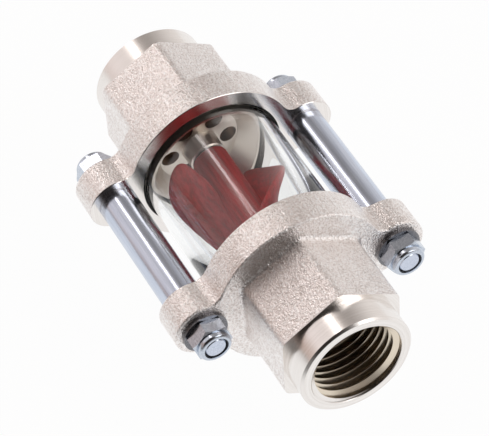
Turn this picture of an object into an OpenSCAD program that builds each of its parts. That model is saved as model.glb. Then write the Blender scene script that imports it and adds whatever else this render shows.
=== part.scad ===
// Impeller flow indicator for a G 1/2 pipe: two nickel-plated cast housings clamp a glass
// tube between them, and a two-bladed rotor spins on an axle held in the bosses of the
// perforated flow plates. The flow axis is X, the tie rods lie to each side along Y, and
// the origin is at the middle of the glass.

/* [Length] */
// Clear gap between the two flange faces, which is also the body length of a tie rod
flange_gap = 32.4; // [30:0.1:44]
// Length of one housing, from its flange face to its port face
housing_len = 31.4; // [29:0.1:40]

/* [Flange and ears] */
// Diameter of the round flange
flange_dia = 39.6; // [38.5:0.1:43]
// Thickness of the flange and its ears
flange_thk = 7.7; // [7:0.1:9]
// Distance between the axes of the two tie rods
rod_spacing = 45.5; // [44:0.1:50]
// Diameter of the round end of an ear
ear_dia = 13; // [11:0.1:15]
// Radius of the hollow between an ear and the flange
ear_blend_r = 3; // [1.5:0.1:5]
// Rounding of the cast outer edges
cast_edge_r = 0.5; // [0.2:0.1:0.8]
// Chamfer left by facing the flange
faced_edge = 0.15; // [0.1:0.05:0.3]

/* [Wrench hexagon and port collar] */
// Size of the wrench hexagon across its flats
hex_af = 27; // [25.5:0.1:30]
// Rounding of the hexagon's long edges
hex_edge_r = 2; // [0.5:0.1:2.5]
// Radius of the fillet where the hexagon meets the flange
hex_root_r = 1.3; // [0.5:0.1:2]
// Length of the turned collar beyond the hexagon
collar_len = 6.3; // [4:0.1:9]
// Diameter of the turned collar
collar_dia = 25.7; // [24.5:0.1:26.5]
// Chamfer on the collar's outer edge
collar_chamfer = 0.5; // [0.2:0.1:0.8]

/* [Port] */
// Diameter across the roots of the port thread
thread_root_dia = 21; // [20.9:0.01:21.1]
// Diameter across the crests of the port thread, and of the passage behind it
passage_dia = 18.6; // [17.8:0.1:19]
// Depth of the threaded part of the port
thread_depth = 15; // [12:0.1:17]
// Chamfer at the mouth of the port
mouth_chamfer = 0.15; // [0.1:0.05:0.5]

/* [Glass and seals] */
// Outer diameter of the sight glass
glass_dia = 32; // [31:0.1:32.6]
// Wall of the sight glass
glass_wall = 3; // [2.5:0.1:3.4]
// Rounding of the glass's fire-polished ends
glass_edge_r = 0.4; // [0.2:0.1:0.6]
// Gap around the glass in its seat
glass_clearance = 0.6; // [0.3:0.1:0.8]
// Gap between the glass and the dish rim inside it
rim_clearance = 0.25; // [0.1:0.05:0.5]
// Depth of the ring-shaped glass seat
seat_depth = 4; // [3:0.1:5]
// Thickness of a pressed seal ring
seal_thk = 2; // [1:0.1:2.5]
// Gap between a seal ring and the sides of its seat
seal_clearance = 0.1; // [0.05:0.05:0.3]

/* [Flow plate] */
// Thickness of the dish rim at the flange face
rim_thk = 0.6; // [0.4:0.1:1]
// Depth of the dish floor below the flange face
dish_depth = 4; // [3:0.1:5]
// Diameter of the flat floor of the dish
floor_dia = 18; // [17.6:0.1:20]
// Thickness of the perforated floor
floor_thk = 2.4; // [1.5:0.1:3]
// Number of flow holes
hole_count = 6; // [4:1:7]
// Diameter of a flow hole
hole_dia = 3.9; // [2.5:0.1:4.2]
// Radius of the circle of flow holes
hole_circle_r = 6.75; // [6.5:0.05:7]
// Diameter of the boss that holds the axle
boss_dia = 8.1; // [7:0.1:8.4]
// Bevel round the end of the boss
boss_bevel = 0.3; // [0.1:0.1:0.5]

/* [Rotor and axle] */
// Diameter of the fixed axle
axle_dia = 3; // [2.5:0.1:3.6]
// Depth of the blind axle hole in each boss
axle_seat = 4.2; // [2:0.1:5]
// Radial gap between the axle and its seat
axle_fit = 0.01; // [0.005:0.005:0.02]
// Radial running gap between the rotor and the axle
running_gap = 0.05; // [0.02:0.01:0.1]
// Gap between each end of the hub and the boss
end_play = 0.4; // [0.2:0.1:1]
// Diameter of the rotor hub
hub_dia = 8; // [6.5:0.1:8.4]
// Bevel round the ends of the hub
hub_bevel = 0.3; // [0.1:0.1:0.6]
// Gap between the tips of the blades and the glass
tip_clearance = 0.75; // [0.5:0.05:2]
// Thickness of a blade
blade_thk = 2.1; // [1:0.1:2.6]
// Half length of a blade where it leaves the hub
blade_root_half = 3.9; // [2.5:0.1:5]
// Extra half length that the blade's ends gain by their sweep
blade_sweep = 11.6; // [6:0.1:11.8]
// Power of the sweep's curve: 1 is straight, and less runs out sooner
blade_sweep_power = 0.62; // [0.5:0.01:1]
// Height of the rounded corner at a blade's end
blade_corner = 2.6; // [1.5:0.1:4]
// Turn of the blades about the axle along one millimetre of flow
blade_twist = 5.4; // [2:0.1:6]
// Angle by which a blade leans back from its tip to the axis
blade_lean = 44; // [0:1:50]
// Further angle by which it hooks back towards the hub
blade_hook = 34; // [0:1:40]
// Angle of the first blade at the middle of the rotor
blade_start = 46; // [0:1:90]

/* [Tie rods and nuts] */
// Diameter of a tie rod between the flanges
rod_dia = 8.5; // [7:0.1:9]
// Chamfer on the ends of a tie rod's body
rod_chamfer = 0.4; // [0.2:0.1:0.8]
// Diameter of the studs at the ends of a tie rod
stud_dia = 5; // [4:0.1:5.4]
// Chamfer on the end of a stud
stud_chamfer = 0.35; // [0.2:0.05:0.5]
// Diameter of the clearance hole through an ear
ear_hole_dia = 5.5; // [5.5:0.1:6.5]
// Diameter of a washer
washer_dia = 10; // [9.5:0.1:11]
// Thickness of a washer
washer_thk = 1; // [0.6:0.1:1.4]
// Radial gap between a stud and its washer
washer_gap = 0.15; // [0.05:0.05:0.3]
// Size of a nut across its flats
nut_af = 8; // [7.8:0.1:9]
// Height of a whole lock nut
nut_height = 4.7; // [4.4:0.1:5.4]
// Height of the nut's hexagon
nut_hex_height = 3.3; // [2.8:0.1:3.6]
// Diameter of the round collar that holds the insert, at its foot
nut_collar_dia = 7.4; // [7:0.1:7.6]
// Diameter of the opening in the rolled lip
nut_lip_dia = 5.5; // [5.5:0.1:5.7]
// Outer diameter of the polymer insert
insert_dia = 6.2; // [6:0.1:6.3]
// Height of the polymer insert
insert_height = 1.1; // [0.6:0.1:1.2]
// Thickness of the lip rolled over the insert
nut_lip_thk = 0.3; // [0.2:0.05:0.5]
// Rounding of the nut's collar into its lip
nut_collar_round = 0.7; // [0.3:0.1:0.8]
// Radial gap between a stud and its nut
thread_gap = 0.02; // [0.01:0.01:0.05]
// Turn of each lock nut: inlet left, inlet right, outlet left, outlet right
nut_turns = [47, 10, 18, 33]; // [0:1:59]

/* [Hidden] */

$fn = 96;
INLET = -1;
OUTLET = 1;
LEFT = -1;
RIGHT = 1;

// How far a cutting shape runs past the surface that it opens
overrun = 1;

face_x = flange_gap / 2;
flange_r = flange_dia / 2;
ear_r = ear_dia / 2;
rod_y = rod_spacing / 2;
hex_end = housing_len - collar_len;
hex_corner_reach = (hex_af / 2 - hex_edge_r) / cos(30);
// Steps in the rounding of a long edge, and in the fillet at the foot
hex_edge_steps = 4;
hex_root_steps = 5;
// Depth by which the hexagon is sunk in the flange, as a share of the flange
hex_sink_share = 0.5;
collar_r = collar_dia / 2;

glass_r = glass_dia / 2;
glass_bore_r = glass_r - glass_wall;
seat_r = glass_r + glass_clearance;
rim_r = glass_bore_r - rim_clearance;
glass_end = seat_depth - seal_thk;

hub_r = hub_dia / 2;
hub_half = face_x - end_play;
rotor_r = glass_bore_r - tip_clearance;
axle_r = axle_dia / 2;
// Bevel on the axle's ends, as a share of its radius
axle_tip_share = 0.25;
axle_tip = axle_r * axle_tip_share;

// A blade's grid: rows from inside the hub to the tip, columns along the flow
blade_rows = 12;
blade_columns = 36;
// Where a blade starts, as a share of the way from the axle to the hub's skin
foot_share = 0.5;
blade_foot_r = axle_r + (hub_r - axle_r) * foot_share;
// Share of the blade's height over which its outer edge is rounded thin
edge_share = 0.1;
// Thickness left at the blade's edge, as a share of its full thickness
thin_share = 0.5;

stud_r = stud_dia / 2;
// Depth of a stud's end below the top of its nut, as a share of the stud's chamfer
stud_sink_share = 0.5;
stud_end = flange_thk + washer_thk + nut_height - stud_chamfer * stud_sink_share;
insert_foot = nut_height - nut_lip_thk - insert_height;

// How far the hollow blend dips into the flange and the ear, to cross them cleanly,
// as a share of the chamfer beside it
dip_share = 1 / 3;
blend_dip = faced_edge * dip_share;
// Centre of the hollow blend beside an ear
blend_reach = ear_blend_r - blend_dip;
blend_y = (pow(rod_y, 2) + pow(flange_r + blend_reach, 2) - pow(ear_r + blend_reach, 2))
    / (2 * rod_y);
blend_z = sqrt(pow(flange_r + blend_reach, 2) - pow(blend_y, 2));

// Heights and margins of the hexagon's rings: sunk in the flange, up the fillet, at the end
hex_rings = [
    [flange_thk * hex_sink_share, hex_root_r],
    for (step = [0 : hex_root_steps])
        let (angle = 90 * step / hex_root_steps)
        [flange_thk - blend_dip + hex_root_r * (1 - cos(angle)), hex_root_r * (1 - sin(angle))],
    [hex_end, 0]
];

// Places its children on one housing: they are drawn along +Z from the flange face
module on_housing(end) {
    mirror([end == INLET ? 1 : 0, 0, 0])
        translate([face_x, 0, 0])
            rotate([0, 90, 0])
                children();
}

// Places its children on one tie rod axis of one housing
module on_ear(end, side) {
    on_housing(end)
        translate([0, side * rod_y, 0])
            children();
}

// A disc with a small chamfer at its foot and a rounded upper edge
module edged_disc(r, thk, foot, top_r) {
    rotate_extrude() {
        difference() {
            polygon([[0, 0], [r - foot, 0], [r, foot], [r, thk], [0, thk]]);
            translate([r - top_r, thk - top_r])
                square(top_r + overrun);
        }
        translate([r - top_r, thk - top_r])
            intersection() {
                circle(top_r);
                square(top_r);
            }
        translate([0, foot])
            square([r - top_r, thk - foot]);
    }
}

// Cuts one hollow beside an ear, and rounds the edge that it leaves
module blend_cutter() {
    flare_r = ear_blend_r + cast_edge_r;
    translate([0, 0, -overrun])
        cylinder(h = flange_thk + 2 * overrun, r = ear_blend_r);
    translate([0, 0, flange_thk - cast_edge_r])
        rotate_extrude()
            difference() {
                square([flare_r, cast_edge_r + overrun]);
                translate([flare_r, 0])
                    circle(cast_edge_r);
            }
}

// The web that joins an ear to the flange, hollowed on both sides
module ear_web() {
    difference() {
        linear_extrude(flange_thk)
            polygon([[0, 0], [-blend_z, blend_y], [0, rod_y], [blend_z, blend_y]]);
        for (turn = [-1, 1])
            translate([turn * blend_z, blend_y, 0])
                blend_cutter();
    }
}

// The flange with its two ears
module flange() {
    edged_disc(flange_r, flange_thk, faced_edge, cast_edge_r);
    for (side = [LEFT, RIGHT]) {
        translate([0, side * rod_y, 0])
            edged_disc(ear_r, flange_thk, faced_edge, cast_edge_r);
        mirror([0, side == LEFT ? 1 : 0, 0])
            ear_web();
    }
}

// Outline of the hexagon with rounded corners, grown by a margin
function hex_outline(grow) = [
    for (corner = [0 : 5])
        for (step = [0 : hex_edge_steps])
            let (angle = 60 * corner + 60 * step / hex_edge_steps - 30)
            hex_corner_reach * [cos(60 * corner), sin(60 * corner)]
                + (hex_edge_r + grow) * [cos(angle), sin(angle)]
];

// The wrench hexagon, with rounded long edges and a fillet that runs into the flange
module wrench_hexagon() {
    sides = 6 * (hex_edge_steps + 1);
    last = len(hex_rings) - 1;
    points = [
        for (ring = hex_rings)
            for (point = hex_outline(ring[1]))
                [point[0], point[1], ring[0]]
    ];
    walls = [
        for (ring = [0 : last - 1])
            for (n = [0 : sides - 1])
                let (
                    a = ring * sides + n,
                    b = ring * sides + (n + 1) % sides
                )
                each [[a, b + sides, b], [a, a + sides, b + sides]]
    ];
    foot = [for (n = [0 : sides - 1]) n];
    top = [for (n = [0 : sides - 1]) (last + 1) * sides - 1 - n];
    polyhedron(points = points, faces = concat(walls, [foot, top]));
}

// The turned collar round the port
module port_collar() {
    cylinder(h = housing_len - collar_chamfer, r = collar_r);
    translate([0, 0, housing_len - collar_chamfer])
        cylinder(h = collar_chamfer, r1 = collar_r, r2 = collar_r - collar_chamfer);
}

// What is cut from the flange side: the ring-shaped glass seat and the dish
module seat_and_dish() {
    rotate_extrude()
        polygon([
            [rim_r, -overrun], [seat_r, -overrun], [seat_r, seat_depth], [rim_r, seat_depth]
        ]);
    rotate_extrude()
        polygon([
            [boss_dia / 2, dish_depth], [boss_dia / 2, boss_bevel],
            [boss_dia / 2 - boss_bevel, 0], [boss_dia / 2 - boss_bevel, -overrun],
            [rim_r - rim_thk, -overrun], [rim_r - rim_thk, 0], [floor_dia / 2, dish_depth]
        ]);
}

// What is cut from the port side: the passage, the thread's root bore and its mouth
module port_bore() {
    back = dish_depth + floor_thk;
    thread_r = thread_root_dia / 2;
    translate([0, 0, back])
        cylinder(h = housing_len - back, r = passage_dia / 2);
    translate([0, 0, housing_len - thread_depth])
        cylinder(h = thread_depth + overrun, r = thread_r);
    translate([0, 0, housing_len - mouth_chamfer])
        cylinder(h = mouth_chamfer, r1 = thread_r, r2 = thread_r + mouth_chamfer);
}

// One cast housing, from its faced flange to its port
module housing(end) {
    color([0.78, 0.75, 0.72])
        on_housing(end)
            difference() {
                union() {
                    flange();
                    wrench_hexagon();
                    port_collar();
                }
                seat_and_dish();
                port_bore();
                for (n = [0 : hole_count - 1])
                    rotate([0, 0, 90 + n * 360 / hole_count])
                        translate([hole_circle_r, 0, dish_depth - overrun])
                            cylinder(h = floor_thk + 2 * overrun, r = hole_dia / 2);
                translate([0, 0, -overrun])
                    cylinder(h = axle_seat + overrun, r = axle_r + axle_fit);
                for (side = [LEFT, RIGHT])
                    translate([0, side * rod_y, -overrun])
                        cylinder(h = flange_thk + 2 * overrun, r = ear_hole_dia / 2);
            }
}

module inlet_housing() {
    housing(INLET);
}

module outlet_housing() {
    housing(OUTLET);
}

// The glass tube, with softly rounded ends
module sight_glass() {
    half = face_x + glass_end;
    wall = glass_r - glass_bore_r;
    color([0.85, 0.92, 0.95, 0.35])
        rotate([0, 90, 0])
            rotate_extrude() {
                translate([glass_bore_r, glass_edge_r - half])
                    square([wall, 2 * (half - glass_edge_r)]);
                translate([glass_bore_r + glass_edge_r, -half])
                    square([wall - 2 * glass_edge_r, 2 * half]);
                for (r = [glass_bore_r + glass_edge_r, glass_r - glass_edge_r])
                    for (z = [glass_edge_r - half, half - glass_edge_r])
                        translate([r, z])
                            circle(glass_edge_r, $fn = 32);
            }
}

// One flat rubber ring between a housing and the end of the glass
module seal(end) {
    color([0.08, 0.08, 0.08])
        on_housing(end)
            translate([0, 0, glass_end])
                difference() {
                    cylinder(h = seal_thk, r = seat_r - seal_clearance);
                    translate([0, 0, -overrun])
                        cylinder(h = seal_thk + 2 * overrun, r = rim_r + seal_clearance);
                }
}

module inlet_seal() {
    seal(INLET);
}

module outlet_seal() {
    seal(OUTLET);
}

// The steel pin that carries the rotor, held in both bosses
module axle() {
    half = face_x + axle_seat - axle_tip;
    color([0.72, 0.73, 0.75])
        rotate([0, 90, 0])
            rotate_extrude()
                polygon([
                    [0, -half], [axle_r - axle_tip, -half], [axle_r, axle_tip - half],
                    [axle_r, half - axle_tip], [axle_r - axle_tip, half], [0, half]
                ]);
}

function row_r(row) = blade_foot_r + (rotor_r - blade_foot_r) * row / blade_rows;

// Half length of the blade at a radius: swept out from the hub, rounded at the corner
function blade_half(r) =
    let (
        share = max(0, r - hub_r) / (rotor_r - hub_r),
        into_corner = max(0, r - rotor_r + blade_corner) / blade_corner
    )
    blade_root_half + blade_sweep * pow(share, blade_sweep_power)
        - blade_corner * (1 - sqrt(max(0, 1 - pow(into_corner, 2))));

// Full thickness inside the blade, thinner towards its edges
function blade_share(row, column) =
    let (
        to_tip = (1 - row / blade_rows) / edge_share,
        to_end = (1 - abs(2 * column / blade_columns - 1)) / edge_share,
        near = min(1, to_tip, to_end)
    )
    thin_share + (1 - thin_share) * sqrt(1 - pow(1 - near, 2));

// A point on one face of a blade; face is -1 or 1
function blade_point(row, column, face) =
    let (
        r = row_r(row),
        along = blade_half(r) * (2 * column / blade_columns - 1),
        back = 1 - r / rotor_r,
        angle = blade_twist * along - blade_lean * back - blade_hook * pow(back, 2),
        // The blade's normal leans out of the turning direction by the helix angle
        climb = atan(r * blade_twist * PI / 180),
        offset = face * blade_thk / 2 * blade_share(row, column),
        turn = offset * cos(climb) / r * 180 / PI
    )
    [along - offset * sin(climb), r * cos(angle + turn), r * sin(angle + turn)];

function blade_index(row, column, face) =
    ((face + 1) / 2 * (blade_rows + 1) + row) * (blade_columns + 1) + column;

// One helical blade, closed along its foot, its tip and both ends
module blade() {
    points = [
        for (face = [-1, 1])
            for (row = [0 : blade_rows])
                for (column = [0 : blade_columns])
                    blade_point(row, column, face)
    ];
    sheets = [
        for (face = [-1, 1])
            for (row = [0 : blade_rows - 1])
                for (column = [0 : blade_columns - 1])
                    let (
                        a = blade_index(row, column, face),
                        b = blade_index(row, column + 1, face),
                        c = blade_index(row + 1, column + 1, face),
                        d = blade_index(row + 1, column, face)
                    )
                    each face < 0 ? [[a, b, c], [a, c, d]] : [[a, c, b], [a, d, c]]
    ];
    long_edges = [
        for (row = [0, blade_rows])
            for (column = [0 : blade_columns - 1])
                let (
                    a = blade_index(row, column, -1),
                    b = blade_index(row, column + 1, -1),
                    c = blade_index(row, column + 1, 1),
                    d = blade_index(row, column, 1)
                )
                each row > 0 ? [[a, b, c], [a, c, d]] : [[a, c, b], [a, d, c]]
    ];
    end_edges = [
        for (column = [0, blade_columns])
            for (row = [0 : blade_rows - 1])
                let (
                    a = blade_index(row, column, -1),
                    b = blade_index(row + 1, column, -1),
                    c = blade_index(row + 1, column, 1),
                    d = blade_index(row, column, 1)
                )
                each column == 0 ? [[a, b, c], [a, c, d]] : [[a, c, b], [a, d, c]]
    ];
    polyhedron(points = points, faces = concat(sheets, long_edges, end_edges));
}

// The moulded rotor: a bored hub with two opposite helical blades
module impeller() {
    color([0.62, 0.16, 0.17])
        difference() {
            union() {
                rotate([0, 90, 0])
                    rotate_extrude()
                        polygon([
                            [0, -hub_half], [hub_r - hub_bevel, -hub_half],
                            [hub_r, hub_bevel - hub_half], [hub_r, hub_half - hub_bevel],
                            [hub_r - hub_bevel, hub_half], [0, hub_half]
                        ]);
                for (n = [0, 1])
                    rotate([blade_start + n * 180, 0, 0])
                        blade();
            }
            rotate([0, 90, 0])
                cylinder(h = 2 * (hub_half + overrun), r = axle_r + running_gap, center = true);
        }
}

// One tie rod: a round bar that sets the gap, with a stud at each end
module tie_rod(side) {
    half = face_x;
    tip = half + stud_end;
    color([0.70, 0.73, 0.78])
        translate([0, side * rod_y, 0])
            rotate([0, 90, 0])
                rotate_extrude()
                    polygon([
                        [0, -tip], [stud_r - stud_chamfer, -tip],
                        [stud_r, stud_chamfer - tip], [stud_r, -half],
                        [rod_dia / 2 - rod_chamfer, -half], [rod_dia / 2, rod_chamfer - half],
                        [rod_dia / 2, half - rod_chamfer], [rod_dia / 2 - rod_chamfer, half],
                        [stud_r, half], [stud_r, tip - stud_chamfer],
                        [stud_r - stud_chamfer, tip], [0, tip]
                    ]);
}

module left_tie_rod() {
    tie_rod(LEFT);
}

module right_tie_rod() {
    tie_rod(RIGHT);
}

// One flat washer on the outer face of an ear
module washer(end, side) {
    color([0.74, 0.76, 0.79])
        on_ear(end, side)
            translate([0, 0, flange_thk])
                difference() {
                    cylinder(h = washer_thk, r = washer_dia / 2);
                    translate([0, 0, -overrun])
                        cylinder(h = washer_thk + 2 * overrun, r = stud_r + washer_gap);
                }
}

module inlet_left_washer() {
    washer(INLET, LEFT);
}

module inlet_right_washer() {
    washer(INLET, RIGHT);
}

module outlet_left_washer() {
    washer(OUTLET, LEFT);
}

module outlet_right_washer() {
    washer(OUTLET, RIGHT);
}

// Places its children on the outer face of a washer
module on_washer(end, side) {
    on_ear(end, side)
        translate([0, 0, flange_thk + washer_thk])
            children();
}

// One lock nut: a bevelled hexagon with a round collar rolled over its insert
module lock_nut(end, side, turn) {
    corner_r = nut_af / 2 / cos(30);
    bevel = (corner_r - nut_af / 2) * tan(30);
    color([0.74, 0.76, 0.79])
        on_washer(end, side)
            difference() {
                union() {
                    intersection() {
                        rotate([0, 0, turn])
                            cylinder(h = nut_hex_height, r = corner_r, $fn = 6);
                        rotate_extrude()
                            polygon([
                                [0, 0], [nut_af / 2, 0], [corner_r, bevel],
                                [corner_r, nut_hex_height - bevel],
                                [nut_af / 2, nut_hex_height], [0, nut_hex_height]
                            ]);
                    }
                    edged_disc(nut_collar_dia / 2, nut_height, faced_edge, nut_collar_round);
                }
                translate([0, 0, -overrun])
                    cylinder(h = nut_height + 2 * overrun, r = stud_r + thread_gap);
                translate([0, 0, insert_foot])
                    cylinder(h = nut_height, r = nut_lip_dia / 2);
                translate([0, 0, insert_foot])
                    cylinder(h = insert_height, r = insert_dia / 2 + thread_gap);
            }
}

// One polymer ring, held under the lip of its nut and gripping the stud
module nut_insert(end, side) {
    color([0.12, 0.13, 0.16])
        on_washer(end, side)
            translate([0, 0, insert_foot])
                difference() {
                    cylinder(h = insert_height, r = insert_dia / 2);
                    translate([0, 0, -overrun])
                        cylinder(h = insert_height + 2 * overrun, r = stud_r + thread_gap);
                }
}

module inlet_left_nut() {
    lock_nut(INLET, LEFT, nut_turns[0]);
}

module inlet_right_nut() {
    lock_nut(INLET, RIGHT, nut_turns[1]);
}

module outlet_left_nut() {
    lock_nut(OUTLET, LEFT, nut_turns[2]);
}

module outlet_right_nut() {
    lock_nut(OUTLET, RIGHT, nut_turns[3]);
}

module inlet_left_insert() {
    nut_insert(INLET, LEFT);
}

module inlet_right_insert() {
    nut_insert(INLET, RIGHT);
}

module outlet_left_insert() {
    nut_insert(OUTLET, LEFT);
}

module outlet_right_insert() {
    nut_insert(OUTLET, RIGHT);
}

inlet_housing();
outlet_housing();
sight_glass();
inlet_seal();
outlet_seal();
axle();
impeller();
left_tie_rod();
right_tie_rod();
inlet_left_washer();
inlet_right_washer();
outlet_left_washer();
outlet_right_washer();
inlet_left_nut();
inlet_right_nut();
outlet_left_nut();
outlet_right_nut();
inlet_left_insert();
inlet_right_insert();
outlet_left_insert();
outlet_right_insert();
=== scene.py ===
"""Looks of the impeller flow indicator: smooth turned and cast surfaces, the port threads,
the moulded rotor, clear glass, plated hardware and a bright studio."""

import math

import bmesh
import bpy
from mathutils import Matrix, Vector


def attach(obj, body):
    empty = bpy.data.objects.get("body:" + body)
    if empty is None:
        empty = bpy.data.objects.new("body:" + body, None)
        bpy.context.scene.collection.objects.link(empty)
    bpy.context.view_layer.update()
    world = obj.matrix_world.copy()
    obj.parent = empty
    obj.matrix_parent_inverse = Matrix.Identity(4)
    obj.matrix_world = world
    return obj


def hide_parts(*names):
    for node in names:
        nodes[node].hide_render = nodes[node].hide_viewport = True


MM = 0.001
MATH = "ShaderNodeMath"

# Sizes that the pieces share with the solids, in millimetres.
FLANGE_FACE = 16.2
FLANGE_RADIUS = 19.8
HEX_END = 41.3
PORT_FACE = 47.6
SEAT_RADIUS = 16.6
FLOW_PLATE_FRONT = 20.2
FLOW_PLATE_BACK = 22.6
PASSAGE_RADIUS = 9.3
THREAD_START = 32.6
THREAD_ROOT_RADIUS = 10.5
THREAD_PITCH = 1.814
GLASS_RADIUS = 16.0
GLASS_BORE_RADIUS = 13.0
GLASS_HALF = 18.2
GLASS_EDGE = 0.4
AXLE_RADIUS = 1.5
RUNNING_GAP = 0.05
HUB_RADIUS = 4.0
HUB_HALF = 15.8
HUB_BEVEL = 0.3
ROTOR_RADIUS = 12.25

# How far a finish reaches past the face where it ends, in millimetres.
FINISH_MARGIN = 0.1
# Points of a grown mesh that are closer than this are one point.
WELD = 0.001 * MM
# Edges sharper than these angles, in degrees, stay sharp under smooth shading.
CRISP_ON_HEXAGONS = 28
CRISP_ON_ROUNDS = 30
CRISP_ON_HUB = 40
CRISP_ON_BLADES = 50
CRISP_ON_GLASS = 60


def linear(hex_colour):
    """An sRGB hex colour as the linear, opaque RGBA that Blender's sockets take."""
    channels = [int(hex_colour[i : i + 2], 16) / 255 for i in (1, 3, 5)]
    return [
        c / 12.92 if c <= 0.04045 else ((c + 0.055) / 1.055) ** 2.4 for c in channels
    ] + [1.0]


def add(tree, kind, *inputs, output=0, stops=(), **settings):
    """Adds a node with its settings, fills or links its inputs in order or by name, and
    returns one output. Stops are the places and hex colours of a colour ramp."""
    node = tree.nodes.new(kind)
    for name, value in settings.items():
        setattr(node, name, value)
    for n, (place, colour) in enumerate(stops):
        elements = node.color_ramp.elements
        element = elements[n] if n < len(elements) else elements.new(place)
        element.position = place
        element.color = linear(colour)
    named = len(inputs) == 1 and isinstance(inputs[0], dict)
    for name, value in (inputs[0] if named else dict(enumerate(inputs))).items():
        if isinstance(value, bpy.types.NodeSocket):
            tree.links.new(value, node.inputs[name])
        else:
            node.inputs[name].default_value = value
    return node.outputs[output]


def new_material(name):
    """An empty node material and its tree, with the output node in place."""
    material = bpy.data.materials.new(name)
    material.use_nodes = True
    tree = material.node_tree
    tree.nodes.clear()
    return material, tree, tree.nodes.new("ShaderNodeOutputMaterial")


def object_millimetres(tree):
    """Object coordinates in millimetres: the vector, its x and y, and the distance from the
    flow axis."""
    place = add(tree, "ShaderNodeTexCoord", output=3)
    place = add(tree, "ShaderNodeVectorMath", {0: place, 3: 1 / MM}, operation="SCALE")
    x, y, z = add(tree, "ShaderNodeSeparateXYZ", place).node.outputs
    across = add(tree, "ShaderNodeCombineXYZ", 0.0, y, z)
    radius = add(tree, "ShaderNodeVectorMath", across, output=1, operation="LENGTH")
    return place, x, y, radius


def close_surface(tree, out, height, sockets):
    """Ends a material in one surface, whose relief is the height in metres."""
    normal = add(tree, "ShaderNodeBump", {"Height": height, "Distance": 1.0, "Strength": 1.0})
    shader = add(tree, "ShaderNodeBsdfPrincipled", {**sockets, "Normal": normal})
    tree.links.new(shader, out.inputs[0])


def turned_areas(tree, x, radius):
    """Masks of the housing: one for all its turned faces, and one each for the thread, the
    dish, the passage and the collar."""
    along = add(tree, MATH, x, operation="ABSOLUTE")
    at_glass = add(tree, MATH, along, FLANGE_FACE + FINISH_MARGIN, operation="LESS_THAN")
    within_seat = add(tree, MATH, radius, SEAT_RADIUS + FINISH_MARGIN, operation="LESS_THAN")
    before_back = add(tree, MATH, along, FLOW_PLATE_BACK + FINISH_MARGIN, operation="LESS_THAN")
    in_seat = add(tree, MATH, within_seat, before_back, operation="MULTIPLY")
    at_port = add(tree, MATH, along, HEX_END - FINISH_MARGIN, operation="GREATER_THAN")
    in_port = add(tree, MATH, radius, THREAD_ROOT_RADIUS + FINISH_MARGIN, operation="LESS_THAN")
    turned = add(tree, MATH, at_glass, in_seat, operation="MAXIMUM")
    turned = add(tree, MATH, turned, at_port, operation="MAXIMUM")
    turned = add(tree, MATH, turned, in_port, operation="MAXIMUM")

    # The last stretch of the bore is as bright as the collar.
    bright_mouth = 0.8
    before_mouth = add(tree, MATH, along, PORT_FACE - bright_mouth, operation="LESS_THAN")
    thread = add(tree, MATH, before_mouth, in_port, operation="MULTIPLY")

    dish = add(tree, MATH, radius, GLASS_BORE_RADIUS, operation="LESS_THAN")
    dish = add(tree, MATH, dish, before_back, operation="MULTIPLY")

    behind_plate = FLOW_PLATE_FRONT + FINISH_MARGIN / 2
    past_front = add(tree, MATH, along, behind_plate, operation="GREATER_THAN")
    before_thread = add(tree, MATH, along, THREAD_START, operation="LESS_THAN")
    passage = add(tree, MATH, radius, PASSAGE_RADIUS + FINISH_MARGIN, operation="LESS_THAN")
    passage = add(tree, MATH, passage, past_front, operation="MULTIPLY")
    passage = add(tree, MATH, passage, before_thread, operation="MULTIPLY")

    past_hexagon = 0.3
    collar = add(tree, MATH, along, HEX_END + past_hexagon, operation="GREATER_THAN")
    return turned, thread, dish, passage, collar


def cast_skin(tree, place, y, radius):
    """Colour, roughness and height of the blasted casting, with draw marks and the mould's
    parting line on the flange's rim."""
    # Blasted grain of about 0.25 mm, drawn coarser so that it shows.
    grain_width = 0.417
    grain_depth = 0.26 * MM
    mottling_width = 3.33
    # Marks along the flow, from drawing the casting out of the mould.
    mark_width = 0.588
    mark_length = 9.8
    mark_depth = 0.07 * MM
    rim_margin = 0.4
    parting_half_width = 0.28

    grain = add(
        tree,
        "ShaderNodeTexNoise",
        {"Vector": place, "Scale": 1 / grain_width, "Detail": 2.0, "Roughness": 0.5},
    )
    mottling = add(
        tree, "ShaderNodeTexNoise", {"Vector": place, "Scale": 1 / mottling_width, "Detail": 2.0}
    )
    drawn = add(
        tree,
        "ShaderNodeMapping",
        {"Vector": place, "Scale": (mark_width / mark_length, 1.0, 1.0)},
    )
    marks = add(
        tree, "ShaderNodeTexNoise", {"Vector": drawn, "Scale": 1 / mark_width, "Detail": 2.0}
    )
    on_rim = add(tree, MATH, radius, FLANGE_RADIUS - rim_margin, operation="GREATER_THAN")

    shade = add(tree, MATH, grain, 0.85, operation="MULTIPLY")
    shade = add(tree, MATH, mottling, 0.15, shade, operation="MULTIPLY_ADD")
    streaks = add(tree, MATH, marks, 0.5, operation="SUBTRACT")
    streaks = add(tree, MATH, streaks, on_rim, operation="MULTIPLY")
    shade = add(tree, MATH, streaks, 0.25, shade, operation="MULTIPLY_ADD")
    colour = add(
        tree,
        "ShaderNodeValToRGB",
        shade,
        stops=[(0.34, "#DCD4D0"), (0.49, "#F4EDEA"), (0.62, "#FFFDFC")],
    )
    roughness = add(tree, MATH, grain, -0.12, 0.36, operation="MULTIPLY_ADD")

    from_plane = add(tree, MATH, y, operation="ABSOLUTE")
    parting = add(tree, MATH, from_plane, parting_half_width, operation="LESS_THAN")
    raised = add(tree, MATH, marks, parting, operation="ADD")
    raised = add(tree, MATH, raised, on_rim, operation="MULTIPLY")
    height = add(tree, MATH, grain, grain_depth, operation="MULTIPLY")
    height = add(tree, MATH, raised, mark_depth, height, operation="MULTIPLY_ADD")
    return colour, roughness, height


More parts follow.
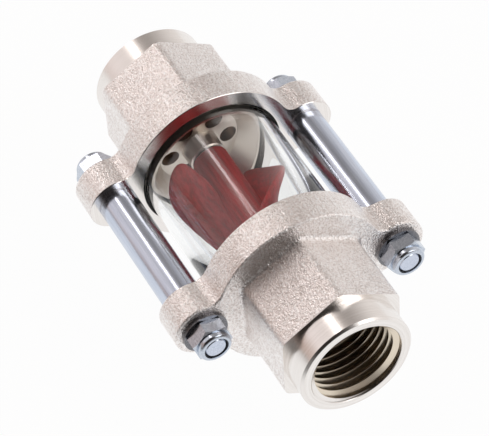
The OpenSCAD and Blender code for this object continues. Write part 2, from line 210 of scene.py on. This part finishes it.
def turned_skin(tree, x, radius, thread, dish, passage, collar):
    """Colour, roughness and height of the bright turned faces: yellower in the thread, duller
    in the dish, and dark in the passage behind the flow plate."""
    # The lathe's feed is about 0.1 mm, drawn coarser so that it shows.
    ring_width = 0.3125
    ring_depth = 0.003 * MM

    # The rings follow the radius on a flat face and the length on a round one.
    ring_place = add(tree, "ShaderNodeCombineXYZ", x, radius, 0.0)
    rings = add(
        tree,
        "ShaderNodeTexNoise",
        {"Vector": ring_place, "Scale": 1 / ring_width, "Detail": 3.0, "Roughness": 0.7},
        noise_dimensions="2D",
    )
    colour = add(
        tree, "ShaderNodeValToRGB", rings, stops=[(0.35, "#EBE6E2"), (0.65, "#F2EEEB")]
    )
    for area, tint in ((thread, "#E4D8C6"), (dish, "#D2C8BE"), (passage, "#94857A")):
        colour = add(
            tree,
            "ShaderNodeMix",
            {0: area, 6: colour, 7: linear(tint)},
            output=2,
            data_type="RGBA",
        )
    roughness = add(tree, MATH, rings, 0.08, 0.14, operation="MULTIPLY_ADD")
    roughness = add(tree, MATH, dish, 0.16, roughness, operation="MULTIPLY_ADD")
    roughness = add(tree, MATH, collar, 0.07, roughness, operation="MULTIPLY_ADD")
    return colour, roughness, add(tree, MATH, rings, ring_depth, operation="MULTIPLY")


def nickel_casting():
    """Nickel-plated cast brass: blasted outside, so that it sparkles softly, and turned bright
    at the glass and the port."""
    material, tree, out = new_material("nickel_plated_cast_brass")
    place, x, y, radius = object_millimetres(tree)
    turned, *areas = turned_areas(tree, x, radius)
    cast_colour, cast_rough, cast_height = cast_skin(tree, place, y, radius)
    turned_colour, turned_rough, turned_height = turned_skin(tree, x, radius, *areas)
    colour = add(
        tree,
        "ShaderNodeMix",
        {0: turned, 6: cast_colour, 7: turned_colour},
        output=2,
        data_type="RGBA",
    )
    roughness = add(tree, "ShaderNodeMix", {0: turned, 2: cast_rough, 3: turned_rough})
    height = add(tree, "ShaderNodeMix", {0: turned, 2: cast_height, 3: turned_height})
    close_surface(
        tree, out, height, {"Base Color": colour, "Metallic": 1.0, "Roughness": roughness}
    )
    return material


def plated_steel(name, dark, light, rough, mark_width, mark_length):
    """Plated or ground steel, with streaks along the flow where its marks are longer than
    wide. Real drawing and tumbling marks are far finer, and are drawn coarser so that they
    show."""
    mark_depth = 0.004 * MM
    material, tree, out = new_material(name)
    place = object_millimetres(tree)[0]
    stretched = add(
        tree,
        "ShaderNodeMapping",
        {"Vector": place, "Scale": (mark_width / mark_length, 1.0, 1.0)},
    )
    marks = add(
        tree,
        "ShaderNodeTexNoise",
        {"Vector": stretched, "Scale": 1 / mark_width, "Detail": 4.0, "Roughness": 0.6},
    )
    sockets = {
        "Base Color": add(tree, "ShaderNodeValToRGB", marks, stops=[(0.3, dark), (0.7, light)]),
        "Metallic": 1.0,
        "Roughness": add(tree, MATH, marks, 0.1, rough, operation="MULTIPLY_ADD"),
    }
    close_surface(tree, out, add(tree, MATH, marks, mark_depth, operation="MULTIPLY"), sockets)
    return material


def moulded_rotor():
    """Red moulded plastic with a satin skin and faint flow streaks from the gate."""
    streak_width = 0.833
    streak_length = 6.94
    streak_depth = 0.02 * MM
    material, tree, out = new_material("red_moulded_plastic")
    place = object_millimetres(tree)[0]
    stretched = add(
        tree,
        "ShaderNodeMapping",
        {"Vector": place, "Scale": (streak_width / streak_length, 1.0, 1.0)},
    )
    streaks = add(
        tree, "ShaderNodeTexNoise", {"Vector": stretched, "Scale": 1 / streak_width, "Detail": 3.0}
    )
    sockets = {
        "Base Color": add(
            tree,
            "ShaderNodeValToRGB",
            streaks,
            stops=[(0.34, "#9C1015"), (0.5, "#B4161C"), (0.66, "#C42328")],
        ),
        "Roughness": add(tree, MATH, streaks, 0.12, 0.42, operation="MULTIPLY_ADD"),
    }
    close_surface(tree, out, add(tree, MATH, streaks, streak_depth, operation="MULTIPLY"), sockets)
    return material


def clear_glass():
    """Clear borosilicate tube with a faint green wall. Shadow and diffuse rays pass straight
    through, as they all but do in a thin wall."""
    haze_width = 3.33
    material, tree, out = new_material("borosilicate_glass")
    place = object_millimetres(tree)[0]
    haze = add(
        tree, "ShaderNodeTexNoise", {"Vector": place, "Scale": 1 / haze_width, "Detail": 2.0}
    )
    shader = add(
        tree,
        "ShaderNodeBsdfPrincipled",
        {
            "Base Color": linear("#FDFEFE"),
            "Roughness": add(tree, MATH, haze, 0.01, operation="MULTIPLY"),
            "IOR": 1.47,
            "Transmission Weight": 1.0,
        },
    )
    passing = add(tree, "ShaderNodeBsdfTransparent", linear("#F4FAF9"))
    rays = tree.nodes.new("ShaderNodeLightPath").outputs
    clear = add(
        tree, MATH, rays["Is Shadow Ray"], rays["Is Diffuse Ray"], operation="MAXIMUM"
    )
    tree.links.new(add(tree, "ShaderNodeMixShader", clear, shader, passing), out.inputs[0])
    return material


def dark_polymer(name, dark, light, rough):
    """Dark rubber or moulded polymer with a fine matt grain."""
    grain_width = 0.333
    grain_depth = 0.03 * MM
    material, tree, out = new_material(name)
    place = object_millimetres(tree)[0]
    grain = add(
        tree, "ShaderNodeTexNoise", {"Vector": place, "Scale": 1 / grain_width, "Detail": 3.0}
    )
    sockets = {
        "Base Color": add(tree, "ShaderNodeValToRGB", grain, stops=[(0.35, dark), (0.65, light)]),
        "Roughness": add(tree, MATH, grain, 0.1, rough, operation="MULTIPLY_ADD"),
    }
    close_surface(tree, out, add(tree, MATH, grain, grain_depth, operation="MULTIPLY"), sockets)
    return material


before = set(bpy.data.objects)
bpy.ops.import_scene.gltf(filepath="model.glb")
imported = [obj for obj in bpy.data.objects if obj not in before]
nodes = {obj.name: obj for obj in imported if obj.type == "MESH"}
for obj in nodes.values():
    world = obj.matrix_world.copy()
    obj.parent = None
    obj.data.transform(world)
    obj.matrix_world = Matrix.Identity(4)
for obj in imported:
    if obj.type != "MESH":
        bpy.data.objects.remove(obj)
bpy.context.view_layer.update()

NICKEL = nickel_casting()
# Blue-bright zinc: a mirror with soft streaks along the drawn rods, and with faint marks on
# the tumbled nuts. The stamped washers are rougher, and their dark grey is painted shade
# under the nuts.
ZINC_BAR = plated_steel("zinc_plated_drawn_bar", "#BEC6D6", "#D4DBE9", 0.15, 0.333, 8.33)
ZINC_HARDWARE = plated_steel("zinc_plated_nut", "#B8C0CC", "#D4DBE6", 0.16, 0.5, 0.5)
ZINC_WASHER_PAINTED_SHADE = plated_steel("dull_zinc_washer_painted_shade", "#6C6C70", "#88888C", 0.22, 0.5, 0.5)
# Ground stainless steel: a plain grey, nearly smooth.
AXLE_STEEL = plated_steel("ground_stainless_pin", "#B0B0B0", "#C8C8C8", 0.15, 0.333, 0.333)
RED = moulded_rotor()
GLASS = clear_glass()
# Nitrile rubber is black with a low sheen; the nuts' polymer is blue-black and satin.
RUBBER = dark_polymer("black_nitrile_rubber", "#0E0E0F", "#1B1B1C", 0.4)
INSERT = dark_polymer("dark_insert_polymer", "#14171F", "#232833", 0.4)


def new_object(name, data):
    """An object in the scene that holds the mesh or other data."""
    piece = bpy.data.objects.new(name, data)
    bpy.context.scene.collection.objects.link(piece)
    return piece


def finish_piece(piece, body, slot_name, *replaced):
    """Rides the piece on its body and hides the solids that it stands for. The slot name is not
    used.
    """
    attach(piece, body)
    if replaced:
        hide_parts(*replaced)


def smooth(piece, angle):
    """Smooth shading that breaks at edges sharper than the angle."""
    piece.data.shade_smooth()
    piece.data.set_sharp_from_angle(angle=math.radians(angle))


def smooth_copy(node_name, name, material, angle):
    """A copy of a solid with its loose triangles merged, so that curved faces shade smoothly."""
    mesh = nodes[node_name].data.copy()
    mesh.name = name
    if mesh.has_custom_normals:
        mesh.attributes.remove(mesh.attributes["custom_normal"])
    shape = bmesh.new()
    shape.from_mesh(mesh)
    bmesh.ops.remove_doubles(shape, verts=shape.verts, dist=2 * WELD)
    shape.to_mesh(mesh)
    shape.free()
    mesh.materials.clear()
    mesh.materials.append(material)
    piece = new_object(name, mesh)
    smooth(piece, angle)
    return piece


def turned_piece(name, outline, material, segments, angle):
    """A closed ring turned about the flow axis from (along, radius) points in millimetres."""
    shape = bmesh.new()
    rings = [
        [
            shape.verts.new(
                (
                    along * MM,
                    radius * MM * math.cos(2 * math.pi * n / segments),
                    radius * MM * math.sin(2 * math.pi * n / segments),
                )
            )
            for n in range(segments)
        ]
        for along, radius in outline
    ]
    for lower, upper in zip(rings, rings[1:] + rings[:1]):
        for n in range(segments):
            after = (n + 1) % segments
            shape.faces.new((lower[n], lower[after], upper[after], upper[n]))
    bmesh.ops.recalc_face_normals(shape, faces=shape.faces)
    mesh = bpy.data.meshes.new(name)
    shape.to_mesh(mesh)
    shape.free()
    mesh.materials.append(material)
    piece = new_object(name, mesh)
    smooth(piece, angle)
    return piece


def rounded_corner(along, radius, corner, start, end, steps):
    """Points of an arc in the (along, radius) plane, angles in degrees."""
    turns = [math.radians(start + (end - start) * n / steps) for n in range(steps + 1)]
    return [(along + corner * math.cos(t), radius + corner * math.sin(t)) for t in turns]


def new_growth(name, labels):
    """A Geometry Nodes tree with named number inputs: the tree, its inputs and its output."""
    tree = bpy.data.node_groups.new(name, "GeometryNodeTree")
    for label in labels:
        tree.interface.new_socket(label, in_out="INPUT", socket_type="NodeSocketFloat")
    tree.interface.new_socket("Geometry", in_out="OUTPUT", socket_type="NodeSocketGeometry")
    return tree, tree.nodes.new("NodeGroupInput").outputs, tree.nodes.new("NodeGroupOutput")


def bend_sheet(tree, sheet, along, radius, angle):
    """Puts a sheet's points at their distance and angle about the flow axis, and welds its
    meeting edges."""
    to_right = add(tree, MATH, angle, operation="COSINE")
    to_right = add(tree, MATH, to_right, radius, operation="MULTIPLY")
    to_top = add(tree, MATH, angle, operation="SINE")
    to_top = add(tree, MATH, to_top, radius, operation="MULTIPLY")
    place = add(tree, "ShaderNodeCombineXYZ", along, to_right, to_top)
    bent = add(tree, "GeometryNodeSetPosition", {"Geometry": sheet, "Position": place})
    return add(tree, "GeometryNodeMergeByDistance", {"Geometry": bent, "Distance": WELD})


def close_growth(tree, out, geometry, material):
    """Ends a tree in real geometry with its finish."""
    real = add(tree, "GeometryNodeRealizeInstances", geometry)
    painted = add(tree, "GeometryNodeSetMaterial", {"Geometry": real, "Material": material})
    tree.links.new(painted, out.inputs[0])


def grown(name, tree, values, angle):
    """Runs a Geometry Nodes tree with the values of its inputs, and keeps the plain mesh."""
    seed = new_object(name + "_seed", bpy.data.meshes.new(name + "_seed"))
    modifier = seed.modifiers.new("grow", "NODES")
    modifier.node_group = tree
    for item in tree.interface.items_tree:
        if item.in_out == "INPUT":
            modifier[item.identifier] = float(values[item.name])
    bpy.context.view_layer.update()
    graph = bpy.context.evaluated_depsgraph_get()
    mesh = bpy.data.meshes.new_from_object(seed.evaluated_get(graph))
    mesh.name = name
    bpy.data.objects.remove(seed)
    shape = bmesh.new()
    shape.from_mesh(mesh)
    bmesh.ops.dissolve_degenerate(shape, edges=shape.edges, dist=WELD / 2)
    bmesh.ops.recalc_face_normals(shape, faces=shape.faces)
    shape.to_mesh(mesh)
    shape.free()
    piece = new_object(name, mesh)
    smooth(piece, angle)
    return piece


BLADE_SIZES = {
    "Foot radius": 2.75 * MM,
    "Hub radius": HUB_RADIUS * MM,
    "Tip radius": ROTOR_RADIUS * MM,
    "Half length at the hub": 6.5 * MM,
    "Sweep of the ends": 10.0 * MM,
    "Sweep power": 0.49,
    "Corner height": 4.6 * MM,
    "Corner length": 8.9 * MM,
    "Wall": 1.9 * MM,
    "Rim rounding": 2.0 * MM,
    "Twist per metre": math.radians(5.2) / MM,
    "Lean": math.radians(10),
    "Hook": math.radians(35.3),
    "First blade angle": math.radians(41.6),
}


def blade_half_length(tree, given, radius):
    """Half the blade's length at a radius."""
    # The ends sweep outwards from the hub.
    height = add(tree, MATH, radius, given["Hub radius"], operation="SUBTRACT")
    height = add(tree, MATH, height, 0.0, operation="MAXIMUM")
    full = add(tree, MATH, given["Tip radius"], given["Hub radius"], operation="SUBTRACT")
    share = add(tree, MATH, height, full, operation="DIVIDE")
    share = add(tree, MATH, share, given["Sweep power"], operation="POWER")
    swept = add(
        tree,
        MATH,
        share,
        given["Sweep of the ends"],
        given["Half length at the hub"],
        operation="MULTIPLY_ADD",
    )
    # The corner at the tip is a quarter of an ellipse.
    below = add(tree, MATH, given["Tip radius"], given["Corner height"], operation="SUBTRACT")
    into = add(tree, MATH, radius, below, operation="SUBTRACT")
    into = add(tree, MATH, into, 0.0, operation="MAXIMUM")
    into = add(tree, MATH, into, given["Corner height"], operation="DIVIDE")
    into = add(tree, MATH, into, into, operation="MULTIPLY")
    kept = add(tree, MATH, 1.0, into, operation="SUBTRACT", use_clamp=True)
    kept = add(tree, MATH, kept, operation="SQRT")
    lost = add(tree, MATH, 1.0, kept, operation="SUBTRACT")
    lost = add(tree, MATH, lost, given["Corner length"], operation="MULTIPLY")
    return add(tree, MATH, swept, lost, operation="SUBTRACT")


def blade_angle(tree, given, along, radius):
    """The angle of the wall's middle: it winds about the axle, leans back from its tip and
    hooks into the hub."""
    back = add(tree, MATH, radius, given["Tip radius"], operation="DIVIDE")
    back = add(tree, MATH, 1.0, back, operation="SUBTRACT")
    lean = add(tree, MATH, back, given["Hook"], given["Lean"], operation="MULTIPLY_ADD")
    lean = add(tree, MATH, lean, back, operation="MULTIPLY")
    angle = add(
        tree,
        MATH,
        along,
        given["Twist per metre"],
        given["First blade angle"],
        operation="MULTIPLY_ADD",
    )
    return add(tree, MATH, angle, lean, operation="SUBTRACT")


def blade_half_wall(tree, given, to_end, radius):
    """Half the wall, which thins to nothing over the rim's rounding at the ends, the tip and
    the foot."""
    to_tip = add(tree, MATH, given["Tip radius"], radius, operation="SUBTRACT")
    to_foot = add(tree, MATH, radius, given["Foot radius"], operation="SUBTRACT")
    near = add(tree, MATH, to_end, to_tip, operation="MINIMUM")
    near = add(tree, MATH, near, to_foot, operation="MINIMUM")
    near = add(tree, MATH, near, given["Rim rounding"], operation="DIVIDE", use_clamp=True)
    near = add(tree, MATH, 1.0, near, operation="SUBTRACT")
    near = add(tree, MATH, near, near, operation="MULTIPLY")
    wall = add(tree, MATH, 1.0, near, operation="SUBTRACT", use_clamp=True)
    wall = add(tree, MATH, wall, operation="SQRT")
    wall = add(tree, MATH, wall, given["Wall"], operation="MULTIPLY")
    return add(tree, MATH, wall, 0.5, operation="MULTIPLY")


def blade_tree():
    """Two opposite helical blades with rounded rims, each a sheet folded over its tip."""
    tree, given, out = new_growth("helical_blades", BLADE_SIZES)
    # The sheet's x runs along the blade, and its y from the foot over the tip and back. Both
    # go from -1 to 1, and their sines crowd the rows at the ends and the tip.
    sheet = add(
        tree,
        "GeometryNodeMeshGrid",
        {"Size X": 2.0, "Size Y": 2.0, "Vertices X": 121, "Vertices Y": 65},
    )
    place = add(tree, "GeometryNodeInputPosition")
    flat_x, flat_y, _ = add(tree, "ShaderNodeSeparateXYZ", place).node.outputs
    flow = add(tree, MATH, flat_x, math.pi / 2, operation="MULTIPLY")
    flow = add(tree, MATH, flow, operation="SINE")
    side = add(tree, MATH, flat_y, operation="SIGN")
    up = add(tree, MATH, flat_y, operation="ABSOLUTE")
    up = add(tree, MATH, 1.0, up, operation="SUBTRACT")
    up = add(tree, MATH, up, math.pi / 2, operation="MULTIPLY")
    up = add(tree, MATH, up, operation="SINE")
    span = add(tree, MATH, given["Tip radius"], given["Foot radius"], operation="SUBTRACT")
    radius = add(tree, MATH, up, span, given["Foot radius"], operation="MULTIPLY_ADD")

    half = blade_half_length(tree, given, radius)
    along = add(tree, MATH, flow, half, operation="MULTIPLY")
    angle = blade_angle(tree, given, along, radius)

    to_end = add(tree, MATH, flow, operation="ABSOLUTE")
    to_end = add(tree, MATH, 1.0, to_end, operation="SUBTRACT")
    to_end = add(tree, MATH, to_end, half, operation="MULTIPLY")
    wall = blade_half_wall(tree, given, to_end, radius)
    wall = add(tree, MATH, wall, side, operation="MULTIPLY")

    # Each face stands off the middle, square to the helix at its radius.
    climb = add(tree, MATH, radius, given["Twist per metre"], operation="MULTIPLY")
    climb = add(tree, MATH, climb, operation="ARCTANGENT")
    aside = add(tree, MATH, climb, operation="COSINE")
    aside = add(tree, MATH, aside, wall, operation="MULTIPLY")
    aside = add(tree, MATH, aside, radius, operation="DIVIDE")
    angle = add(tree, MATH, angle, aside, operation="ADD")
    ahead = add(tree, MATH, climb, operation="SINE")
    ahead = add(tree, MATH, ahead, wall, operation="MULTIPLY")
    along = add(tree, MATH, along, ahead, operation="SUBTRACT")

    blade = bend_sheet(tree, sheet, along, radius, angle)
    opposite = add(
        tree, "GeometryNodeTransform", {"Geometry": blade, "Rotation": (math.pi, 0.0, 0.0)}
    )
    join = tree.nodes.new("GeometryNodeJoinGeometry")
    tree.links.new(blade, join.inputs[0])
    tree.links.new(opposite, join.inputs[0])
    close_growth(tree, out, join.outputs[0], RED)
    return tree


THREAD_SIZES = {
    "Root radius": (THREAD_ROOT_RADIUS + 0.02) * MM,
    "Pitch": THREAD_PITCH * MM,
    "Ridge height": 1.18 * MM,
    "Half foot": 0.80 * MM,
    "Crest": 0.25 * MM,
    "Start": 33.0 * MM,
    "Turns": 7.8,
    "Turns to fade": 0.25,
}


def thread_tree():
    """A V ridge that winds up a bore and fades out at both ends."""
    tree, given, out = new_growth("port_thread", THREAD_SIZES)
    # The grid's long side winds round the bore; its short side is the ridge's closed section.
    sheet = add(
        tree,
        "GeometryNodeMeshGrid",
        {"Size X": 1.0, "Size Y": 4.0, "Vertices X": 1201, "Vertices Y": 5},
    )
    place = add(tree, "GeometryNodeInputPosition")
    flat_x, flat_y, _ = add(tree, "ShaderNodeSeparateXYZ", place).node.outputs
    turn = add(tree, MATH, flat_x, 0.5, operation="ADD")
    turn = add(tree, MATH, turn, given["Turns"], operation="MULTIPLY")
    # Corners at -2, -1, 0, 1 and 2: foot, crest, crest, foot, and the first foot again.
    on_crest = add(tree, MATH, flat_y, -0.5, 0.6, operation="COMPARE")
    to_port = add(tree, MATH, flat_y, 0.5, 0.6, operation="COMPARE")
    side = add(tree, MATH, to_port, 2.0, -1.0, operation="MULTIPLY_ADD")
    left = add(tree, MATH, given["Turns"], turn, operation="SUBTRACT")
    fade = add(tree, MATH, turn, left, operation="MINIMUM")
    fade = add(tree, MATH, fade, given["Turns to fade"], operation="DIVIDE", use_clamp=True)
    reach = add(tree, MATH, given["Ridge height"], on_crest, operation="MULTIPLY")
    reach = add(tree, MATH, reach, fade, operation="MULTIPLY")
    radius = add(tree, MATH, given["Root radius"], reach, operation="SUBTRACT")
    half_crest = add(tree, MATH, given["Crest"], 0.5, operation="MULTIPLY")
    narrower = add(tree, MATH, half_crest, given["Half foot"], operation="SUBTRACT")
    half = add(tree, MATH, on_crest, narrower, given["Half foot"], operation="MULTIPLY_ADD")
    half = add(tree, MATH, half, fade, operation="MULTIPLY")
    along = add(tree, MATH, turn, given["Pitch"], given["Start"], operation="MULTIPLY_ADD")
    along = add(tree, MATH, side, half, along, operation="MULTIPLY_ADD")
    angle = add(tree, MATH, turn, 2 * math.pi, operation="MULTIPLY")
    close_growth(tree, out, bend_sheet(tree, sheet, along, radius, angle), NICKEL)
    return tree


# The rotor: two blades on a bored hub.
blades = grown("rotor_blades", blade_tree(), BLADE_SIZES, CRISP_ON_BLADES)
finish_piece(blades, "rotor", "red_moulding", "impeller")
BORE = AXLE_RADIUS + RUNNING_GAP
BEVEL_RADIUS = HUB_RADIUS - HUB_BEVEL
BEVEL_START = HUB_HALF - HUB_BEVEL
hub = turned_piece(
    "rotor_hub",
    [
        (-HUB_HALF, BORE),
        *rounded_corner(-BEVEL_START, BEVEL_RADIUS, HUB_BEVEL, 180, 90, steps=4),
        *rounded_corner(BEVEL_START, BEVEL_RADIUS, HUB_BEVEL, 90, 0, steps=4),
        (HUB_HALF, BORE),
    ],
    RED,
    segments=96,
    angle=CRISP_ON_HUB,
)
finish_piece(hub, "rotor", "red_moulding")

# The glass tube, with fire-polished ends.
OUTER = GLASS_RADIUS - GLASS_EDGE
INNER = GLASS_BORE_RADIUS + GLASS_EDGE
END = GLASS_HALF - GLASS_EDGE
tube = turned_piece(
    "glass_tube",
    rounded_corner(END, OUTER, GLASS_EDGE, 90, 0, steps=6)
    + rounded_corner(END, INNER, GLASS_EDGE, 0, -90, steps=6)
    + rounded_corner(-END, INNER, GLASS_EDGE, 270, 180, steps=6)
    + rounded_corner(-END, OUTER, GLASS_EDGE, 180, 90, steps=6),
    GLASS,
    segments=256,
    angle=CRISP_ON_GLASS,
)
finish_piece(tube, "body", "sight_glass", "sight_glass")

# A thread for each port: the inlet's is the outlet's turned end for end.
port_thread = thread_tree()
for port, half_turn in (("outlet", 0), ("inlet", math.pi)):
    ridge = grown(f"{port}_thread_ridge", port_thread, THREAD_SIZES, CRISP_ON_ROUNDS)
    ridge.data.transform(Matrix.Rotation(half_turn, 4, "Z"))
    finish_piece(ridge, "body", "nickel_casting")

# The rest keeps the solids' own shape, with smooth shading.
COPIES = [
    ("inlet_housing", "inlet_casting", NICKEL, "nickel_casting", CRISP_ON_HEXAGONS),
    ("outlet_housing", "outlet_casting", NICKEL, "nickel_casting", CRISP_ON_HEXAGONS),
    ("inlet_seal", "inlet_seal_ring", RUBBER, "seal_rubber", CRISP_ON_ROUNDS),
    ("outlet_seal", "outlet_seal_ring", RUBBER, "seal_rubber", CRISP_ON_ROUNDS),
    ("axle", "axle_pin", AXLE_STEEL, "axle_steel", CRISP_ON_ROUNDS),
    ("left_tie_rod", "left_bar", ZINC_BAR, "zinc_rod", CRISP_ON_ROUNDS),
    ("right_tie_rod", "right_bar", ZINC_BAR, "zinc_rod", CRISP_ON_ROUNDS),
]
HARDWARE = [
    ("washer", "flat_ring", ZINC_WASHER_PAINTED_SHADE, "zinc_hardware"),
    ("nut", "lock_nut", ZINC_HARDWARE, "zinc_hardware"),
    ("insert", "insert_ring", INSERT, "insert_polymer"),
]
for stud in ("inlet_left", "inlet_right", "outlet_left", "outlet_right"):
    for node_name, name, material, slot_name in HARDWARE:
        COPIES.append(
            (f"{stud}_{node_name}", f"{stud}_{name}", material, slot_name, CRISP_ON_HEXAGONS)
        )
for node_name, name, material, slot_name, angle in COPIES:
    finish_piece(smooth_copy(node_name, name, material, angle), "body", slot_name, node_name)


def seen_ray(tree, rays):
    """One where the camera looks at the background, directly or through the clear glass."""
    straight = add(tree, MATH, rays["Glossy Depth"], 0.5, operation="LESS_THAN")
    through = add(tree, MATH, rays["Is Transmission Ray"], straight, operation="MULTIPLY")
    return add(tree, MATH, rays["Is Camera Ray"], through, operation="MAXIMUM")


def floor_sheet():
    """A wide white floor under the flanges, which keeps the object's shadow."""
    half_side = 3.0
    level = -(FLANGE_RADIUS + 0.05) * MM
    mesh = bpy.data.meshes.new("studio_floor")
    corners = [
        (x * half_side, y * half_side, level) for x, y in ((-1, -1), (1, -1), (1, 1), (-1, 1))
    ]
    mesh.from_pydata(corners, [], [(0, 1, 2, 3)])
    floor = new_object("studio_floor", mesh)
    material, tree, out = new_material("white_paper_floor")
    rays = tree.nodes.new("ShaderNodeLightPath").outputs
    share = add(tree, MATH, seen_ray(tree, rays), 0.97, operation="MULTIPLY")
    mirrored = add(tree, MATH, rays["Is Glossy Ray"], 0.95, operation="MULTIPLY")
    share = add(tree, MATH, share, mirrored, operation="MAXIMUM")
    paper = add(tree, "ShaderNodeBsdfDiffuse", linear("#F2F1EF"))
    bright = add(tree, "ShaderNodeEmission", linear("#FFFFFF"), 1.0)
    lit = add(tree, "ShaderNodeMixShader", share, paper, bright)
    # Mirrored in the metal, the table ends in front on the left, where the room is unlit.
    place = add(tree, "ShaderNodeTexCoord", output=3)
    end_way = (0.72, -0.69, 0.0)
    end_starts, end_is_full = 0.06, 0.13
    ahead = add(
        tree, "ShaderNodeVectorMath", place, end_way, output=1, operation="DOT_PRODUCT"
    )
    ended = add(
        tree,
        "ShaderNodeMapRange",
        {"Value": ahead, "From Min": end_starts, "From Max": end_is_full, "To Max": 0.8},
        interpolation_type="SMOOTHSTEP",
    )
    ended = add(tree, MATH, ended, rays["Is Glossy Ray"], operation="MULTIPLY")
    unlit = add(tree, "ShaderNodeEmission", linear("#3A3430"), 1.0)
    tree.links.new(add(tree, "ShaderNodeMixShader", ended, lit, unlit), out.inputs[0])
    mesh.materials.append(material)


def studio_world():
    """White behind the object; around it a pale room, lighter at the sides and dark in front."""
    world = bpy.data.worlds.new("studio")
    bpy.context.scene.world = world
    world.use_nodes = True
    tree = world.node_tree
    tree.nodes.clear()
    out = tree.nodes.new("ShaderNodeOutputWorld")
    rays = tree.nodes.new("ShaderNodeLightPath").outputs
    way = add(tree, "ShaderNodeTexCoord", output=0)
    to_right = add(tree, "ShaderNodeSeparateXYZ", way, output=1)
    walls = add(
        tree,
        "ShaderNodeValToRGB",
        add(tree, MATH, to_right, 0.5, 0.5, operation="MULTIPLY_ADD"),
        stops=[
            (0.1, "#C4AEA4"),
            (0.13, "#FAF1F0"),
            (0.29, "#E8E0DD"),
            (0.42, "#BAB2AE"),
            (0.53, "#A29B97"),
            (0.64, "#A39D99"),
            (0.76, "#C6C0BD"),
            (0.88, "#EDE8E5"),
        ],
    )
    # The unlit front of the room, where the camera stands.
    front_way = (0.66, -0.45, 0.6)
    to_front = add(
        tree, "ShaderNodeVectorMath", way, front_way, output=1, operation="DOT_PRODUCT"
    )
    front = add(
        tree,
        "ShaderNodeMapRange",
        {"Value": to_front, "From Min": 0.66, "From Max": 0.84},
        interpolation_type="SMOOTHSTEP",
    )
    room = add(
        tree,
        "ShaderNodeMix",
        {0: front, 6: walls, 7: linear("#2A2523")},
        output=2,
        data_type="RGBA",
    )
    seen = seen_ray(tree, rays)
    behind = add(tree, "ShaderNodeBackground", linear("#FFFFFF"), 1.0)
    around = add(tree, "ShaderNodeBackground", room, 1.0)
    tree.links.new(add(tree, "ShaderNodeMixShader", seen, around, behind), out.inputs[0])


def soft_lamp(name, way, distance, width, length, radiance, colour, along):
    """A rectangular soft box that faces the object, its long side laid along an axis. Its
    distance and sides are in metres."""
    data = bpy.data.lights.new(name, "AREA")
    data.shape = "RECTANGLE"
    data.size = width
    data.size_y = length
    data.energy = radiance * math.pi * width * length
    data.color = linear(colour)[:3]
    lamp = new_object(name, data)
    back = Vector(way).normalized()
    long_side = Vector(along)
    long_side = (long_side - long_side.dot(back) * back).normalized()
    short_side = long_side.cross(back)
    turn = Matrix((short_side, long_side, back)).transposed().to_4x4()
    lamp.matrix_world = Matrix.Translation(back * distance) @ turn


def camera():
    """The photograph's view, fitted to the outlines of the port, flanges, seals and studs."""
    data = bpy.data.cameras.new("photo_view")
    data.sensor_width = 36.0
    data.lens = 212.3
    data.clip_start = 0.01
    data.clip_end = 20.0
    view = new_object("photo_view", data)
    place = Vector((0.3684, -0.1697, 0.4589))
    right = Vector((0.4656, 0.8837, -0.0485)).normalized()
    back = Vector((0.6008, -0.2754, 0.7505)).normalized()
    up = back.cross(right).normalized()
    right = up.cross(back).normalized()
    turn = Matrix((right, up, back)).transposed().to_4x4()
    view.matrix_world = Matrix.Translation(place) @ turn
    bpy.context.scene.camera = view


camera()
floor_sheet()
studio_world()
# A narrow lamp gives the rods and collars their bright line, and a wide one softens its edge.
KEY_WAY = (-0.6, -0.19, 0.777)
KEY_LONG_SIDE = (1, 0.15, 0)
soft_lamp("key_strip", KEY_WAY, 0.62, 0.036, 0.64, 4.8, "#FFF6F4", KEY_LONG_SIDE)
soft_lamp("key_halo", KEY_WAY, 0.64, 0.14, 0.64, 0.75, "#FFFAF7", KEY_LONG_SIDE)
soft_lamp("front_right_box", (0.6, 0.52, 0.6), 0.6, 0.32, 0.32, 1.7, "#FFFFFF", (0, 0, 1))

bpy.context.scene.view_settings.view_transform = "Standard"
